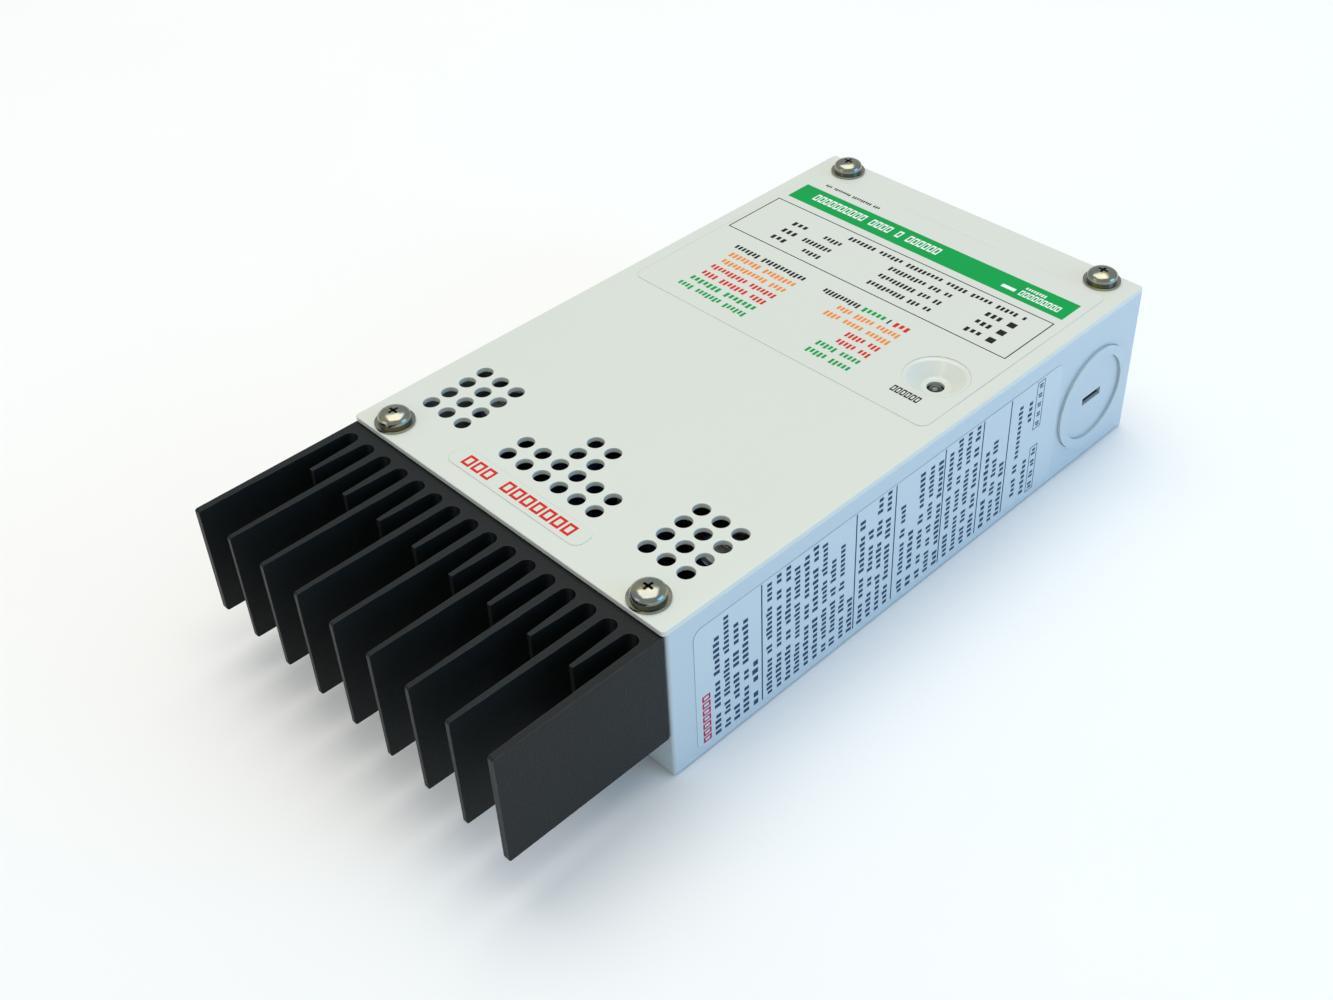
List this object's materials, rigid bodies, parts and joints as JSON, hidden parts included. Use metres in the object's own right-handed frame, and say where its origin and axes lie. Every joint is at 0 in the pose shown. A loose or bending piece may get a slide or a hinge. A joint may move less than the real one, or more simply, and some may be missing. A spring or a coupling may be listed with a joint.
{
  "type": "charge controller",
  "caption": "Wall-mounted solar charge controller: folded enamelled case, flat screwed cover with vents and a status light, finned black heat sink on one end, settings and terminals inside",
  "frame": {"origin": "under the middle of the bounding box, on the plane of the case's back", "axes": "+Z out of the back towards the cover, +Y from the cable end to the heat sink (up on a wall), +X to the right of a reader who faces the cover"},
  "size_m": [0.1274, 0.2574, 0.0572],
  "materials": {
    "case_enamel": "off-white baked enamel",
    "cover_enamel": "off-white baked enamel",
    "label_film": "printed polyester film",
    "zinc_plate": "zinc plated, slightly yellow",
    "black_anodise": "black anodised extrusion",
    "silicone_pad": "grey thermal pad",
    "tinned_metal": "tin plated",
    "black_epoxy": "moulded epoxy",
    "solder_mask": "green solder mask on glass laminate",
    "standoff_metal": "nickel plated",
    "terminal_moulding": "black moulding",
    "lug_metal": "tin plated",
    "ground_screw_green": "green passivated",
    "dial_blue": "blue moulding",
    "knob_ivory": "ivory moulding",
    "button_red": "red moulding",
    "jumper_black": "black moulding",
    "contact_gold": "flash gold plated",
    "lens_white": "milky cast lens",
    "spacer_nylon": "natural nylon",
    "bar_copper": "tinned copper",
    "can_sleeve": "shrink sleeve",
    "resistor_coat": "tan coating",
    "disc_coat": "blue coating"
  },
  "bodies": {
    "case": {"chassis": "case_enamel", "knockout_rings": "case_enamel", "knockout_discs": "case_enamel", "side_label": "label_film", "cover_nuts": "zinc_plate", "heat_sink": "black_anodise", "heat_sink_screws": "zinc_plate", "thermal_pad": "silicone_pad", "transistor_tabs": "tinned_metal", "transistor_bodies": "black_epoxy", "transistor_legs": "tinned_metal", "transistor_screws": "zinc_plate", "circuit_board": "solder_mask", "board_standoffs": "standoff_metal", "board_screws": "zinc_plate", "terminal_housing": "terminal_moulding", "terminal_lugs": "lug_metal", "ground_lug": "lug_metal", "bulk_pot_body": "dial_blue", "float_pot_body": "dial_blue", "reset_switch_body": "jumper_black", "jumper_headers": "jumper_black", "header_pins": "contact_gold", "sensor_socket": "jumper_black", "meter_socket": "jumper_black", "socket_contacts": "contact_gold", "status_light": "lens_white", "light_spacer": "spacer_nylon", "light_leads": "tinned_metal", "busbars": "bar_copper", "current_shunt": "bar_copper", "power_capacitors": "can_sleeve", "chip_socket": "jumper_black", "controller_chip": "black_epoxy", "small_chips": "black_epoxy", "crystal": "tinned_metal", "resistors": "resistor_coat", "diodes": "black_epoxy", "small_capacitors": "can_sleeve", "surge_suppressors": "disc_coat", "voltage_regulator": "black_epoxy", "regulator_fin": "black_anodise"},
    "cover": {"front_cover": "cover_enamel", "front_label": "label_film", "vent_label": "label_film", "cover_screws": "zinc_plate", "cover_flat_washers": "zinc_plate", "cover_lock_washers": "zinc_plate"},
    "bulk_dial": {"bulk_knob": "knob_ivory"},
    "float_dial": {"float_knob": "knob_ivory"},
    "reset": {"reset_button": "button_red"},
    "mode_cap": {"mode_jumper": "jumper_black"},
    "equalize_cap": {"equalize_jumper": "jumper_black"},
    "voltage_cap": {"voltage_jumper": "jumper_black"},
    "clamp_1": {"terminal_screw_1": "zinc_plate"},
    "clamp_2": {"terminal_screw_2": "zinc_plate"},
    "clamp_3": {"terminal_screw_3": "zinc_plate"},
    "clamp_4": {"terminal_screw_4": "zinc_plate"},
    "ground_clamp": {"ground_screw": "ground_screw_green"}
  },
  "joints": [
    {"name": "cover_lift", "type": "slide", "parent": "case", "child": "cover", "axis": [0, 0, 1], "range_m": [0, 0.06]},
    {"name": "bulk_dial_turn", "type": "hinge", "parent": "case", "child": "bulk_dial", "pos_m": [0.045, -0.04809, 0.0178], "axis": [0, 0, 1], "range_deg": [-135, 135]},
    {"name": "float_dial_turn", "type": "hinge", "parent": "case", "child": "float_dial", "pos_m": [0.045, -0.03005, 0.0178], "axis": [0, 0, 1], "range_deg": [-135, 135]},
    {"name": "reset_press", "type": "slide", "parent": "case", "child": "reset", "axis": [0, 0, 1], "range_m": [-0.0005, 0], "stiffness_N_per_m": 3000},
    {"name": "mode_jumper_pull", "type": "slide", "parent": "case", "child": "mode_cap", "axis": [0, 0, 1], "range_m": [0, 0.008]},
    {"name": "equalize_jumper_pull", "type": "slide", "parent": "case", "child": "equalize_cap", "axis": [0, 0, 1], "range_m": [0, 0.008]},
    {"name": "voltage_jumper_pull", "type": "slide", "parent": "case", "child": "voltage_cap", "axis": [0, 0, 1], "range_m": [0, 0.008]},
    {"name": "clamp_1_screw_in", "type": "slide", "parent": "case", "child": "clamp_1", "axis": [0, 0, 1], "range_m": [-0.007, 0]},
    {"name": "clamp_2_screw_in", "type": "slide", "parent": "case", "child": "clamp_2", "axis": [0, 0, 1], "range_m": [-0.007, 0]},
    {"name": "clamp_3_screw_in", "type": "slide", "parent": "case", "child": "clamp_3", "axis": [0, 0, 1], "range_m": [-0.007, 0]},
    {"name": "clamp_4_screw_in", "type": "slide", "parent": "case", "child": "clamp_4", "axis": [0, 0, 1], "range_m": [-0.007, 0]},
    {"name": "ground_screw_in", "type": "slide", "parent": "case", "child": "ground_clamp", "axis": [0, 0, 1], "range_m": [-0.004, 0]}
  ]
}
